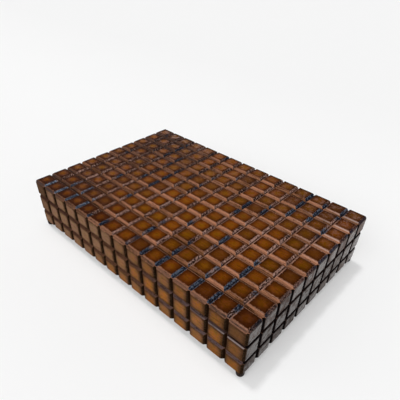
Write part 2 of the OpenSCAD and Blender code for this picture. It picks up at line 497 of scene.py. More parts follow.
@dataclass(frozen=True)
class BlockLacquer:
    """Amber stained blocks under lacquer, with charred margins, long cuts made light by a painted pink
    reflection, cross cuts dark with painted navy reflections and highlights, and painted shade in the seam
    and the walls' grooves.

    The limits in its methods are places and depths in mm, or levels of a noise; a layer's number is
    its share of the colour.
    """
    grid: Grid
    run: Run
    # top faces
    top_amber: Colour = (0.215, 0.052, 0.0003)
    top_olive: Colour = (0.140, 0.050, 0.0003)
    top_gold: Colour = (0.215, 0.082, 0.0003)
    top_brown: Colour = (0.088, 0.026, 0.003)
    top_red: Colour = (0.230, 0.040, 0.002)
    top_rim: Colour = (0.038, 0.008, 0.0005)
    # painted sheen: a grey veil of the lacquer's reflection
    painted_sheen: Colour = (0.260, 0.180, 0.165)
    # front and back faces
    side_amber: Colour = (0.345, 0.110, 0.006)
    side_brown: Colour = (0.150, 0.060, 0.016)
    side_tan: Colour = (0.220, 0.122, 0.070)
    side_shade: Colour = (0.070, 0.034, 0.016)
    side_moss: Colour = (0.150, 0.095, 0.010)
    side_rose: Colour = (0.170, 0.066, 0.062)
    side_rim: Colour = (0.032, 0.012, 0.003)
    # bevels and ledges along the length
    long_dark: Colour = (0.090, 0.034, 0.009)
    # painted reflection and highlight: the pink of the long bevels and of the blocks' edges
    salmon_highlight: Colour = (0.400, 0.178, 0.100)
    slate: Colour = (0.034, 0.026, 0.027)
    ledge_brown: Colour = (0.100, 0.046, 0.026)
    ledge_grey: Colour = (0.105, 0.068, 0.066)
    ledge_glint: Colour = (0.420, 0.350, 0.330)
    # bevels across the slats, and upright ones
    cross_dark: Colour = (0.007, 0.004, 0.003)
    cross_brown: Colour = (0.185, 0.090, 0.063)
    # painted highlight streaks on the cross cuts, and a painted navy reflection with its highlight
    cross_highlight: Colour = (0.480, 0.300, 0.245)
    navy_reflection: Colour = (0.008, 0.012, 0.024)
    navy_highlight: Colour = (0.200, 0.240, 0.310)
    corner_dark: Colour = (0.009, 0.005, 0.002)
    corner_brown: Colour = (0.055, 0.030, 0.015)
    # left and right faces
    # the grey is partly a painted reflection of the pale floor
    end_grey: Colour = (0.150, 0.118, 0.105)
    end_rose: Colour = (0.190, 0.120, 0.098)
    end_dark: Colour = (0.016, 0.009, 0.007)
    # dark marks on any of them, darker groove bottoms, painted shade in the seam, and bare wood
    burnt_and_shade: Colour = (0.010, 0.003, 0.001)
    plum: Colour = (0.022, 0.010, 0.012)
    # black painted shade in the grooves of the left and right faces, the walls' cross grooves and the front
    # of the end rims
    shade_black: Colour = (0.004, 0.003, 0.003)
    inside: Colour = (0.040, 0.018, 0.009)

    def top(self, site: BlockSite) -> Num:
        """Colour of the top faces: amber in the middle of a block and darker towards its edges.

        Args:
            site: where the point lies.

        Returns:
            The colour.
        """
        g, wood = site.g, site.wood
        lid = LidParts.read(site)
        left, right, front, back = lid.left, lid.right, lid.front, lid.back
        warm = g.smooth(wood.grain * 0.6 + wood.cloud * 0.4, 0.36, 0.64)
        heart = g.smooth(lid.ragged, 3.0, 7.0) * (0.4 + 0.6 * site.tint_c)
        brown = left * 0.42 * (1 - lid.lit) + g.smooth(site.tint_b, 0.7, 0.95) * (0.7 - 0.45 * left)
        # darker towards the front left, the right, the back and the front right corner
        mid_left, mid_right = g.smooth(site.x, 0.0, -60.0), g.smooth(site.x, -20.0, 60.0)
        shade = front * (0.34 + 0.50 * mid_left + 0.08 * right) + 0.25 * left * (1 - front)
        shade = shade + 0.12 * mid_right + 0.19 * right + 0.13 * back
        shade = shade + 0.14 * mid_left * (1 - left) * (1 - back)
        shade = shade + 0.16 * g.smooth(site.x, 162.0, 170.0) * g.smooth(site.y, 0.0, -60.0)
        colour = g.layers(
            self.top_olive,
            (g.smooth(warm * 0.4 + site.tint_a * 0.6, 0.1, 0.75), self.top_amber),
            (heart * (1 - 0.7 * right), self.top_gold),
            (g.smooth(wood.mottle, 0.48, 0.36) * 0.45, self.top_olive),
            (g.smooth(wood.mottle, 0.52, 0.62) * 0.40 + 0.22 * front, self.top_red),
            (g.least(1.0, brown), self.top_brown),
            ((shade + 0.08 - 0.30 * site.far_left) * (1 - 0.8 * lid.lit), self.top_rim),
            (g.smooth(lid.ragged - 1.0 * left, 4.9, -0.6) * (0.86 + 0.14 * left), self.top_rim),
            (g.smooth(wood.lines, 0.50, 0.34) * 0.45, self.top_rim))
        return self.top_wear_and_sheen(site, lid, colour)

    def top_wear_and_sheen(self, site: BlockSite, lid: LidParts, colour: Num) -> Num:
        """Marks the top faces: charred nicks, edges rubbed pink with a painted highlight, and a painted
        grey sheen in places.

        Args:
            site: where the point lies.
            lid: the parts of the lid's top.
            colour: the colour so far.

        Returns:
            The colour.
        """
        g, wood, bevel = site.g, site.wood, self.grid.bevel
        left, right, back, ragged = lid.left, lid.right, lid.back, lid.ragged
        last_row, first_cut = g.smooth(site.y, 98.0, 108.0), g.smooth(site.x, -160.0, -170.0)
        from_cut = site.from_cut - bevel + (wood.chatter - 0.5) * 9.0
        from_front = site.from_front - bevel + (wood.chatter - 0.5) * 5.0
        from_back = self.grid.pitch - site.from_front - bevel + (wood.chatter - 0.5) * 4.0
        burnt_rim = g.smooth(ragged, 1.2, -0.8) * (0.3 + 0.5 * left)
        middle = g.smooth(abs(site.y), 100.0, 60.0) * (1 - left) * (1 - 0.6 * right)
        # painted sheen in patches, strongest towards the back and the left
        veil = g.smooth(wood.chatter * 0.5 + wood.cloud * 0.5, 0.43, 0.63) * g.smooth(ragged, 0.0, 4.5)
        amount = 0.03 + 0.18 * back + left * (1 - 0.85 * lid.front) * (0.28 + 0.12 * back)
        amount = (amount + 0.20 * right * back + 0.10 * site.far_left) * (1 - 0.45 * lid.lit)
        amount = amount + left * last_row * 0.40 - first_cut * back * (1 - last_row) * 0.22
        return g.layers(
            colour,
            (g.most(g.smooth(from_cut, 1.6, 0.6) * 0.75, burnt_rim), self.burnt_and_shade),
            (g.smooth(ragged, 3.0, 0.0) * left * back * (1 - last_row) * 0.5, self.burnt_and_shade),
            # pink along the blocks' edges: rubbed lacquer with a painted highlight
            (g.smooth(from_front, 1.8, 0.4) * (0.42 - 0.25 * left), self.salmon_highlight),
            (g.smooth(from_back, 1.7, 0.2) * middle * 0.50, self.salmon_highlight),
            (g.smooth(from_cut, 0.0, -0.8) * 0.6, self.salmon_highlight),
            (veil * g.least(amount, 0.72), self.painted_sheen))

    def side(self, site: BlockSite) -> Num:
        """Colour of the front and back faces: a soft glow that turns to tan towards the left; the tan
        towards the left is a painted reflection.

        Args:
            site: where the point lies.

        Returns:
            The colour.
        """
        g, wood = site.g, site.wood
        grid = self.grid
        ragged = site.edge + (wood.cloud - 0.5) * 4.0 + (wood.grain - 0.5) * 2.0
        patchy = g.smooth(wood.cloud * 0.6 + wood.chatter * 0.4, 0.36, 0.62)
        glow = g.smooth(ragged, 1.0, 6.5) * (0.40 + 0.25 * site.tint_a + 0.45 * patchy)
        # painted reflection: the tan begins further to the left in each lower row
        row_shift = 42.0
        pale = g.smooth(site.x - site.row * row_shift, 0.0, -150.0)
        rosy = g.smooth(site.tint_c, 0.4, 1.0) * 0.35
        # darker in the lid's row towards the right, in the lowest row and in the end blocks
        in_lid, upper_rows = site.z > grid.seam, site.z > grid.step
        near = g.smooth(site.x, grid.length * 0.3, grid.length * 0.5)
        first = g.smooth(site.x, -150.0, -172.0) * (0.42 * upper_rows + 0.45 * in_lid)
        last = (site.x > grid.length / 2 - grid.pitch) * upper_rows
        dim = 0.04 + 0.24 * in_lid * g.smooth(site.x, -50.0, 10.0) + 0.12 * (site.z < grid.step) + first
        return g.layers(
            self.side_brown,
            (glow, self.side_amber),
            (g.least(1.0, pale * 0.9 + site.tint_b * 0.15 + rosy), self.side_tan),
            (g.smooth(wood.mottle, 0.49, 0.36) * 0.50, self.side_moss),
            (g.smooth(wood.mottle, 0.51, 0.62) * 0.50, self.side_rose),
            (g.least(1.0, dim + 0.22 * near + 0.30 * last), self.side_shade),
            (g.smooth(wood.lines, 0.48, 0.34) * 0.45, self.side_rim),
            (g.smooth(ragged, 3.4, -1.0) * 0.85, self.side_rim))

    def end(self, site: BlockSite) -> Num:
        """Colour of the left and right faces: grey-brown, partly a painted reflection of the pale floor,
        and rosier in the lid.

        Args:
            site: where the point lies.

        Returns:
            The colour.
        """
        g, wood = site.g, site.wood
        ragged = site.edge + (wood.cloud - 0.5) * 2.5 + (wood.grain - 0.5) * 2.0
        in_lid = g.smooth(site.z, self.grid.seam - 1.0, self.grid.seam + 1.0)
        shade = wood.cloud * 0.45 + wood.grain * 0.2 + site.tint_a * 0.25
        shade = shade + g.smooth(site.y, 60.0, -60.0) * 0.2 - g.smooth(site.y, 10.0, 50.0) * 0.16
        return g.layers(
            self.end_grey,
            (in_lid * 0.6, self.end_rose),
            (g.least(1.0, shade), self.end_dark),
            (g.smooth(ragged, 1.6, -1.0) * 0.9, self.end_dark))

    def long_bevel(self, site: BlockSite) -> Num:
        """Colour of the bevels along the slats, pink with a painted reflection, and of the ledges between
        the rows of a wall.

        Args:
            site: where the point lies.

        Returns:
            The colour.
        """
        g, wood = site.g, site.wood
        grid = self.grid
        left, near = g.smooth(site.x, -20.0, -160.0), g.smooth(site.x, 115.0, 185.0)
        rim = g.smooth(site.y, 4.5 - grid.width / 2, 2.0 - grid.width / 2)
        middle = g.smooth(abs(site.y), 85.0, 40.0)
        # painted pink reflection of the lamps, in streaks and strongest in the middle rows, with painted
        # light added where the bevel faces back
        light = g.smooth(wood.grain * 0.9 + site.tint_a * 0.35 + wood.chatter * 0.3, 0.50, 0.98)
        light = (light + 0.30 * middle * (1 - 0.5 * left)) * (1 - (0.62 - 0.30 * middle) * left)
        light = light * (1 - 0.5 * rim) + 0.42 * site.to_back * (1 - 0.8 * left)
        # a light line along the outer edge of the front rim: rubbed lacquer with a painted highlight
        worn_glint = rim * g.smooth(site.depth, 0.9, 0.4) * g.smooth(wood.speck, 0.44, 0.58)
        # dark and dull patches, mostly towards the left
        dark = g.smooth(wood.grain * 0.6 + wood.chatter * 0.4 - left * 0.06, 0.47, 0.36)
        dull = g.smooth(wood.chatter * 0.5 + wood.grain * 0.5 + 0.1 * middle, 0.62, 0.40)
        # the front rim is darker, more so in its right half and at the far left
        rim_darkening = 0.26 + 0.22 * g.smooth(site.x, 40.0, 75.0) + 0.36 * g.smooth(site.x, -130.0, -145.0)
        # a broken dark line half way down, and a gleam at the back right
        line = g.smooth(abs(site.depth - 1.9), 0.7, 0.2)
        broken = g.smooth(wood.chatter * 0.6 + wood.grain * 0.4, 0.42, 0.56)
        gleam = near * g.smooth(site.y, -30.0, 60.0) * g.smooth(site.depth, 1.6, 0.5)
        return g.layers(
            self.long_dark,
            (g.least(1.0, light + worn_glint * 0.6), self.salmon_highlight),
            (g.most(dark * 0.75, left * (0.45 - 0.25 * middle)), self.burnt_and_shade),
            (left * (1 - rim) * dull * 0.75, self.slate),
            (rim * rim_darkening, self.slate),
            (site.far_left * 0.36, self.slate),
            (line * broken * 0.45, self.long_dark),
            (gleam * 0.55, self.ledge_glint),
            (site.low, self.ledge(site, left, near)),
            (g.smooth(site.depth, grid.bevel - 0.5, grid.bevel - 0.1) * 0.5, self.burnt_and_shade),
            (site.in_end, self.shade_black))

    def ledge(self, site: BlockSite, left: Num, near: Num) -> Num:
        """Colour of the ledges between the rows of a wall and in the seam.

        Args:
            site: where the point lies.
            left: 1 towards the left.
            near: 1 towards the right.

        Returns:
            The colour.
        """
        g, wood, seam = site.g, site.wood, self.grid.seam
        # in the seam at the right: a painted highlight along the wall's outer edge, with painted shade
        # deeper on the wall's bevel and on the lid's bevel above
        below = (site.z < seam) * (site.z > seam - self.grid.bevel - 0.5) * near
        above = (site.z > seam) * near
        return g.layers(
            self.ledge_brown,
            (g.smooth(site.x, 0.0, 130.0), self.ledge_grey),
            (g.smooth(wood.lines * 0.7 + wood.chatter * 0.3, 0.48, 0.62) * 0.7, self.burnt_and_shade),
            (left * 0.45, self.plum),
            (above * 0.8, self.burnt_and_shade),
            (below * g.smooth(site.depth, 1.0, 1.8) * 0.85, self.burnt_and_shade),
            (below * g.smooth(abs(site.depth - 0.8), 0.6, 0.3) * 0.5, self.ledge_glint))

    def cross_bevel(self, site: BlockSite) -> Num:
        """Colour of the bevels that cut across the slats: grey-brown with painted highlight streaks, and a
        painted navy reflection near the front.

        Args:
            site: where the point lies.

        Returns:
            The colour.
        """
        g, wood = site.g, site.wood
        grid = self.grid
        front = g.smooth(site.y, -grid.width * 0.28, -grid.width * 0.42)
        left, right = g.smooth(site.x, -20.0, -110.0), g.smooth(site.x, 50.0, 120.0)
        back, middle = g.smooth(site.y, -20.0, 60.0), (1 - left) * (1 - right)
        # stretches of each cut carry a painted navy reflection and the others stay brown
        cut = g.math("ROUND", site.x / grid.pitch + grid.cols / 2)
        stretch = g.noise(g.join(cut * 3.7, site.y * 0.022, 0.5), (1.0,) * 3, 1.0)
        bias = front * 0.18 + left * 0.06 + right * (0.03 + 0.09 * back)
        navy = g.smooth(stretch + bias + (wood.chatter - 0.5) * 0.16, 0.59, 0.65)
        rough = wood.chatter * 0.75 + wood.speck * 0.25 + (site.tint_c - 0.5) * 0.06
        highlight_streak = g.smooth(rough + 0.03 * right * (1 - back), 0.50, 0.58)
        shade = g.smooth(wood.chatter * 0.6 + wood.lines * 0.2 + site.tint_b * 0.2, 0.36, 0.58)
        brown = g.layers(
            self.cross_dark,
            (shade * (1 - 0.3 * left - 0.3 * right - 0.5 * back * middle), self.cross_brown),
            (highlight_streak * (0.72 + 0.04 * left + 0.08 * right - 0.08 * back * middle), self.cross_highlight),
            # painted light where the cut faces left, towards the lamps
            (site.to_left * 0.35, self.salmon_highlight))
        blue = highlight_streak * (0.48 + 0.45 * front * left) + front * left * 0.18
        rim = g.smooth(abs(site.x), grid.length / 2 - 4.5, grid.length / 2 - 2.5)
        bottom = g.smooth(site.depth, grid.bevel - 1.4, grid.bevel - 0.4)
        return g.layers(
            brown,
            (navy, g.mix(blue, self.navy_reflection, self.navy_highlight)),
            (site.far_left * 0.46, self.slate),
            (rim * 0.65, self.plum),
            # black painted shade at the front of the end rims, across the walls' grooves and in the grooves
            # of the ends
            (rim * g.smooth(site.y, -30.0, -110.0) * g.smooth(wood.speck, 0.62, 0.42), self.shade_black),
            (site.low, self.shade_black),
            (bottom * (0.35 + 0.5 * site.tint_b), self.burnt_and_shade),
            (site.in_end, self.shade_black))

    def upright_bevel(self, site: BlockSite) -> Num:
        """Colour of the upright bevels and of the tips where bevels meet.

        Args:
            site: where the point lies.

        Returns:
            The colour.
        """
        g, wood = site.g, site.wood
        return g.layers(
            self.corner_dark,
            (g.smooth(wood.grain * 0.6 + wood.lines * 0.4, 0.42, 0.66), self.corner_brown),
            (g.smooth(site.depth, 0.8, 2.2) * 0.8, self.burnt_and_shade),
            (site.in_end, self.shade_black))

    def make(self) -> bpy.types.Material:
        """Makes the material.

        Returns:
            The material.
        """
        g = MaterialGraph(f"block_lacquer_{self.run.value}", {
            "Specular IOR Level": 0.0, "Coat Roughness": 0.26, "Coat IOR": 1.5})
        site = BlockSite.read(g, self.grid, self.run)
        wood, bevel = site.wood, self.grid.bevel
        flat = g.most(site.on_side, site.on_end, site.long_cut, site.cross_cut)
        tip = (1 - flat) * (site.z < self.grid.top - bevel - 0.5)
        inner = g.most(g.smooth(site.depth, bevel + 0.3, bevel + 0.7), site.down)
        bare = g.mix(g.smooth(wood.grain, 0.3, 0.7), tuple(0.6 * c for c in self.inside), self.inside)
        colour = g.layers(
            self.top(site),
            (site.on_side, self.side(site)),
            (site.on_end, self.end(site)),
            (site.long_cut, self.long_bevel(site)),
            (site.cross_cut, self.cross_bevel(site)),
            (g.most(site.corner_cut, tip), self.upright_bevel(site)),
            (inner, bare),
            (g.smooth(wood.pores, 0.56, 0.72) * (0.45 - 0.3 * site.on_end), self.burnt_and_shade))
        # thin lacquer, thick and glossy on parts of the sawn ends, and none inside
        cuts = g.most(site.long_cut, site.cross_cut, site.corner_cut)
        ends = site.on_end * (0.15 + 0.75 * g.smooth(wood.cloud * 0.8 + site.tint_b * 0.2, 0.34, 0.62))
        coat = (0.20 - 0.04 * site.long_cut - 0.12 * site.cross_cut) * (1 - site.on_end) + ends
        coat = coat * (1 - inner) * (1 - 0.75 * site.on_side)
        coat = coat * (1 - 0.95 * g.most(site.low * cuts, site.corner_cut))
        rough = 0.45 + 0.2 * wood.grain + 0.2 * inner
        normal = g.bump(wood.chatter, 0.0006, 0.5, g.bump(wood.pores, 0.00005, 0.5))
        return g.finish({"Base Color": colour, "Roughness": rough, "Coat Weight": coat, "Normal": normal})


@dataclass(frozen=True)
class BoardWood:
    """Plain board: a panel that is stained or left bare."""
    name: str
    light: Colour
    dark: Colour
    roughness: float
    ply: bool = False   # whether its edges show layers
    layer: float = 0.6  # thickness of a layer, in mm

    def make(self) -> bpy.types.Material:
        """Makes the material.

        Returns:
            The material.
        """
        g = MaterialGraph(self.name, {"Specular IOR Level": 0.35})
        place = g.place()
        grain = g.noise(place, (0.012, 0.22, 0.9), 4.0)
        pores = g.noise(place, (0.12, 2.6, 2.6), 2.0)
        colour = g.mix(g.smooth(grain, 0.3, 0.7), self.dark, self.light)
        colour = g.mix(g.smooth(pores, 0.55, 0.75) * 0.5, colour, tuple(0.5 * c for c in self.dark))
        if self.ply:
            layer = g.math("PINGPONG", g.split(place)[2], self.layer)
            colour = g.mix(g.smooth(layer, 0.2, 0.4) * 0.35, colour, self.dark)
        rough = self.roughness + 0.15 * grain
        return g.finish({"Base Color": colour, "Roughness": rough, "Normal": g.bump(pores, 0.0001, 0.6)})


@dataclass(frozen=True)
class Cloth:
    """Woven cloth, plain or with a short nap."""
    name: str
    light: Colour
    dark: Colour
    thread: float  # width of a thread, in mm
    nap: bool

    def make(self) -> bpy.types.Material:
        """Makes the material.

        Returns:
            The material.
        """
        g = MaterialGraph(self.name, {
            "Specular IOR Level": 0.2, "Sheen Weight": 0.35 if self.nap else 0.1,
            "Sheen Roughness": 0.4, "Sheen Tint": self.light})
        place = g.place()
        x, y, _ = g.split(place)
        over = g.math("SINE", x * (math.pi / self.thread)) * g.math("SINE", y * (math.pi / self.thread))
        weave = over * 0.5 + 0.5
        fuzz = g.noise(place, (2.2, 2.2, 2.2), 3.0)
        brushed = g.noise(place, (0.05, 0.09, 0.05), 3.0)
        height = fuzz * 0.7 + weave * 0.3 if self.nap else weave * 0.75 + fuzz * 0.25
        shade = g.smooth(height * 0.6 + brushed * 0.4, 0.3, 0.7)
        colour = g.mix(shade, self.dark, self.light)
        return g.finish({"Base Color": colour, "Roughness": 0.78 + 0.2 * fuzz,
                         "Normal": g.bump(height, 0.0003, 0.7)})


@dataclass(frozen=True)
class EbonisedPeg:
    """Turned wood, stained black and polished."""
    dark: Colour = (0.006, 0.004, 0.003)
    brown: Colour = (0.026, 0.011, 0.006)

    def make(self) -> bpy.types.Material:
        """Makes the material.

        Returns:
            The material.
        """
        g = MaterialGraph("ebonised_peg", {
            "Coat Weight": 0.05, "Coat Roughness": 0.12, "Specular IOR Level": 0.05})
        place = g.place()
        grain = g.noise(place, (1.2, 1.2, 0.1), 3.0)
        rings = g.noise(place, (0.1, 0.1, 3.0), 2.0)
        colour = g.mix(g.smooth(grain, 0.35, 0.75), self.dark, self.brown)
        return g.finish({"Base Color": colour, "Roughness": 0.32 + 0.2 * grain,
                         "Normal": g.bump(rings, 0.00006, 0.6)})


@dataclass(frozen=True)
class AgedBrass:
    """Brass that has been brushed along X and has darkened a little."""
    name: str
    bright: Colour = (0.66, 0.47, 0.19)
    dull: Colour = (0.30, 0.20, 0.09)

    def make(self) -> bpy.types.Material:
        """Makes the material.

        Returns:
            The material.
        """
        g = MaterialGraph(self.name, {"Metallic": 1.0})
        place = g.place()
        brush = g.noise(place, (0.15, 6.0, 6.0), 2.0)
        patina = g.noise(place, (0.22, 0.22, 0.22), 4.0)
        colour = g.mix(g.smooth(patina, 0.42, 0.7), self.bright, self.dull)
        rough = 0.24 + 0.25 * patina + 0.1 * brush
        return g.finish({"Base Color": colour, "Roughness": rough, "Normal": g.bump(brush, 0.00003, 0.5)})


# ---------------------------------------------------------------- pieces

def add_object(name: str, data: bpy.types.ID) -> bpy.types.Object:
    """Adds an object with a mesh, a lamp or a camera in it.

    Args:
        name: its name.
        data: what it holds.

    Returns:
        The object.
    """
    made = bpy.data.objects.new(name, data)
    bpy.context.scene.collection.objects.link(made)
    return made


@dataclass
class Piece:
    """One mesh that stands for a CAD node and rides on a body."""
    name: str
    body: str
    slot: str
    node: str

    def place(self, mesh: bmesh.types.BMesh, material: bpy.types.Material) -> bpy.types.Object:
        """Turns a bmesh into the finished piece.

        Args:
            mesh: the shape, in place, in metres.
            material: its finish.

        Returns:
            The object.
        """
        data = bpy.data.meshes.new(self.name)
        mesh.to_mesh(data)
        mesh.free()
        data.materials.append(material)
        made = add_object(self.name, data)
        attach(made, self.body)
        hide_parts(self.node)
        LOG.info("%s: %d faces, on %s", self.name, len(data.polygons), self.body)
        return made


def merged_copy(node: str) -> bmesh.types.BMesh:
    """Copies a CAD node's mesh, joins its loose triangles and clears lines across flat faces.

    Args:
        node: the CAD node.

    Returns:
        The copy.
    """
    flat_angle = math.radians(0.6)
    mesh = bmesh.new()
    mesh.from_mesh(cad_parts[node].data)
    bmesh.ops.remove_doubles(mesh, verts=mesh.verts[:], dist=MERGE_WITHIN)
    bmesh.ops.dissolve_limit(mesh, angle_limit=flat_angle, verts=mesh.verts[:], edges=mesh.edges[:])
    return mesh


def round_edges(mesh: bmesh.types.BMesh, radius: float, segments: int,
                wanted: Callable[[bmesh.types.BMEdge], bool] = lambda edge: True,
                clamp: bool = True) -> None:
    """Rounds the outward edges that are wanted, and smooths only the new strips.

    Args:
        mesh: the shape.
        radius: offset of the rounding, in millimetres.
        segments: faces across it.
        wanted: says whether an edge is rounded; all are if it isn't given.
        clamp: whether short edges hold the rounding back.
    """
    sharp = math.radians(20)
    edges = [e for e in mesh.edges if len(e.link_faces) == 2 and e.is_convex
             and e.calc_face_angle() > sharp and wanted(e)]
    made = bmesh.ops.bevel(mesh, geom=edges, offset=radius * MM, offset_type="OFFSET",
                           segments=segments, profile=0.5, affect="EDGES", material=-1,
                           clamp_overlap=clamp)
    for face in mesh.faces:
        face.smooth = False
    for face in made["faces"]:
        face.smooth = True


def smooth_by_angle(mesh: bmesh.types.BMesh, degrees: float, widest: float = math.inf) -> None:
    """Smooth shading that stops at sharp edges.

    Args:
        mesh: the shape.
        degrees: angle from which an edge is sharp.
        widest: area from which a face stays flat, in square millimetres.
    """
    for face in mesh.faces:
        face.smooth = face.calc_area() < widest * MM * MM
    for edge in mesh.edges:
        edge.smooth = len(edge.link_faces) == 2 and edge.calc_face_angle() < math.radians(degrees)


def corner_places(part: MeshPart) -> List[Tuple[float, ...]]:
    """Lists where the corners of a vertex, an edge or a face are, the least first."""
    corners = [part] if isinstance(part, bmesh.types.BMVert) else part.verts
    return sorted(tuple(corner.co) for corner in corners)


def sort_by_place(mesh: bmesh.types.BMesh) -> None:
    """Sorts the parts of a mesh, so that each run stores them in the same order.

    Args:
        mesh: a shape that was extruded or spun, which leaves its parts in any order.
    """
    for parts in (mesh.verts, mesh.edges, mesh.faces):
        for index, part in enumerate(sorted(parts, key=corner_places)):
            part.index = index
        parts.sort()


def note_facing(made: bpy.types.Object) -> None:
    """Writes which way each face looks, for the finish to read.

    Args:
        made: the piece.
    """
    facing = made.data.attributes.new("facing", "FLOAT_VECTOR", "FACE")
    for polygon in made.data.polygons:
        facing.data[polygon.index].vector = polygon.normal


def metal_piece(node: str, body: str, slot: str, finish: bpy.types.Material) -> bpy.types.Object:
    """Makes a metal piece from its CAD node, with its edges eased.

    Args:
        node: the CAD node.
        body: the body that it rides on.
        slot: the record's material slot; it is not used.
        finish: its material.

    Returns:
        The piece.
    """
    easing, sharp_from, flat_from = 0.12, 32.0, 10.0
    mesh = merged_copy(node)
    round_edges(mesh, easing, segments=2, clamp=False)
    smooth_by_angle(mesh, sharp_from, flat_from)
    return Piece(f"{node}_metal", body, slot, node).place(mesh, finish)


@dataclass
class BlockWork:
    """The boards that carry the block grid: the lid's slats and the four walls."""
    grid: Grid
    rounding: float = 1.0       # of the blocks' edges, in mm
    segments: int = 3
    groove_share: float = 0.75  # share of a groove's depth down to which its edges are rounded
    sides: Sequence[str] = ("front", "back", "left", "right")

    def shown(self, face: bmesh.types.BMFace) -> bool:
        """True for a face on the outside or in a groove."""
        return self.grid.depth(face.calc_center_median()) < self.grid.bevel * self.groove_share

    def board(self, node: str, body: str, finish: bpy.types.Material) -> bpy.types.Object:
        """Makes one board from its CAD node.

        Args:
            node: the CAD node.
            body: the body that it rides on.
            finish: its material.

        Returns:
            The piece.
        """
        mesh = merged_copy(node)
        round_edges(mesh, self.rounding, self.segments, lambda e: all(self.shown(f) for f in e.link_faces))
        made = Piece(f"{node}_wood", body, "block_wood", node).place(mesh, finish)
        note_facing(made)
        return made

    def build(self) -> List[bpy.types.Object]:
        """Makes the ten slats and the four walls.

        Returns:
            The pieces.
        """
        long_finish = BlockLacquer(self.grid, Run.LONG).make()
        cross_finish = BlockLacquer(self.grid, Run.CROSS).make()
        made = [self.board(f"lid_slat_{i}", "lid", long_finish) for i in range(1, self.grid.rows + 1)]
        for side in self.sides:
            finish = long_finish if side in ("front", "back") else cross_finish
            made.append(self.board(f"{side}_wall", "box", finish))
        return made


@dataclass
class Linings:
    """Canvas and plywood behind the slats, and the cloth in the lid and on the floor."""
    roll: float = 0.9           # drop of a turned-under edge, in mm
    roll_share: float = 0.7     # the most of a sheet's thickness that it takes
    roll_reach: float = 4.0     # its width, in drops
    wave_share: float = 0.12    # share of the thickness that the ripples take
    waves: Tuple[float, float] = (61.0, 73.0)  # radians per metre
    easing: float = 0.3         # of the plywood's edges, in mm
    along: int = 70
    across: int = 46
    dark_cloth: Cloth = field(default_factory=lambda: Cloth(
        "lining_cloth", (0.070, 0.030, 0.022), (0.022, 0.010, 0.008), 0.5, True))
    canvas: Cloth = field(default_factory=lambda: Cloth(
        "canvas", (0.55, 0.46, 0.33), (0.36, 0.29, 0.20), 0.9, False))
    plywood: BoardWood = field(default_factory=lambda: BoardWood(
        "plywood", (0.62, 0.43, 0.24), (0.42, 0.26, 0.13), 0.6, True))

    def sheet(self, node: str, body: str, slot: str, finish: bpy.types.Material,
              shown: Shown) -> bpy.types.Object:
        """Makes a sheet of cloth that fills its CAD node, with its edges turned under.

        Args:
            node: the CAD node.
            body: the body that it rides on.
            slot: the record's material slot; it is not used.
            finish: its material.
            shown: which side of it shows.

        Returns:
            The piece.
        """
        low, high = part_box(node)
        size = high - low
        mesh = bmesh.new()
        bmesh.ops.create_grid(mesh, x_segments=self.along, y_segments=self.across, size=0.5)
        bmesh.ops.scale(mesh, vec=(size.x, size.y, 1), verts=mesh.verts[:])
        bmesh.ops.translate(mesh, vec=((low.x + high.x) / 2, (low.y + high.y) / 2, 0), verts=mesh.verts[:])
        outer, back = (high.z, low.z) if shown is Shown.UPPER else (low.z, high.z)
        roll = min(self.roll * MM, self.roll_share * size.z)
        wave_x, wave_y = self.waves
        for vert in mesh.verts:
            inset = min(vert.co.x - low.x, high.x - vert.co.x, vert.co.y - low.y, high.y - vert.co.y)
            fall = max(0.0, 1 - inset / (self.roll_reach * roll)) ** 2
            wave = 0.5 + 0.5 * math.sin(vert.co.x * wave_x) * math.sin(vert.co.y * wave_y + 1)
            ripple = self.wave_share * size.z * wave
            vert.co.z = outer - shown.value * (roll * fall + ripple * (1 - fall))
        grown = bmesh.ops.extrude_face_region(mesh, geom=mesh.faces[:])
        for part in grown["geom"]:
            if isinstance(part, bmesh.types.BMVert):
                part.co.z = back
        bmesh.ops.recalc_face_normals(mesh, faces=mesh.faces[:])
        sort_by_place(mesh)
        smooth_by_angle(mesh, degrees=40)
        made = Piece(f"{node}_cloth", body, slot, node).place(mesh, finish)
        return made

    def build(self) -> List[bpy.types.Object]:
        """Makes the two linings, the canvas and the plywood.

        Returns:
            The pieces.
        """
        cloth = self.dark_cloth.make()
        made = [self.sheet("floor_lining", "box", "lining_cloth", cloth, Shown.UPPER),
                self.sheet("lid_lining", "lid", "lining_cloth", cloth, Shown.LOWER),
                self.sheet("lid_canvas", "lid", "canvas", self.canvas.make(), Shown.LOWER)]
        panel = merged_copy("lid_panel")
        round_edges(panel, self.easing, segments=2)
        board = Piece("lid_panel_board", "lid", "plywood", "lid_panel")
        made.append(board.place(panel, self.plywood.make()))
        return made


